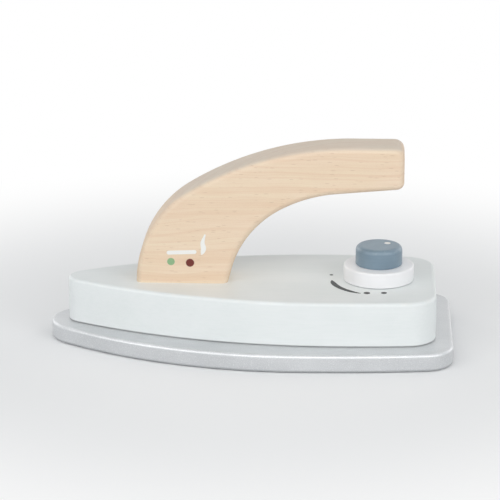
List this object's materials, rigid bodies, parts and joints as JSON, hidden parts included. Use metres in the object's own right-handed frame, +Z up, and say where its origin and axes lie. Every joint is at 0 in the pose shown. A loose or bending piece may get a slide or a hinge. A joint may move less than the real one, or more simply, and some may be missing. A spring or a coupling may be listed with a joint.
{
  "type": "toy iron",
  "caption": "Wooden toy clothes iron: pointed silver sole plate, pale body block, open arched handle and a turning heat dial.",
  "frame": {"origin": "middle of the sole plate's underside, on the surface that the iron stands on", "axes": "+X from the nose to the heel, +Z up, +Y completes a right-handed frame; the nose points to -X"},
  "size_m": [0.161, 0.0854, 0.0812],
  "materials": {
    "silver_paint_on_wood": "glossy silver paint on fine board",
    "pale_paint_on_wood": "satin mint-white paint",
    "white_paint_on_wood": "satin white paint",
    "blue_grey_paint_on_wood": "satin blue-grey paint",
    "bare_wood": "clear matt varnish over light wood",
    "plated_steel": "zinc plated",
    "spring_steel": "dark, oiled",
    "pressed_fibre": "pressed fibre"
  },
  "bodies": {
    "iron": {"sole_plate": "silver_paint_on_wood", "body_block": "pale_paint_on_wood", "handle": "bare_wood", "front_dowel": "bare_wood", "rear_dowel": "bare_wood", "handle_screw": "plated_steel", "sole_screws": "plated_steel", "fibre_washer": "pressed_fibre", "steel_washer": "plated_steel", "spring_washer": "spring_steel"},
    "dial": {"dial_disc": "white_paint_on_wood", "dial_knob": "blue_grey_paint_on_wood", "dial_screw": "plated_steel"}
  },
  "joints": [
    {"name": "dial_turn", "type": "hinge", "parent": "iron", "child": "dial", "pos_m": [0.051, 0, 0.0252], "axis": [0, 0, 1], "continuous": true}
  ]
}
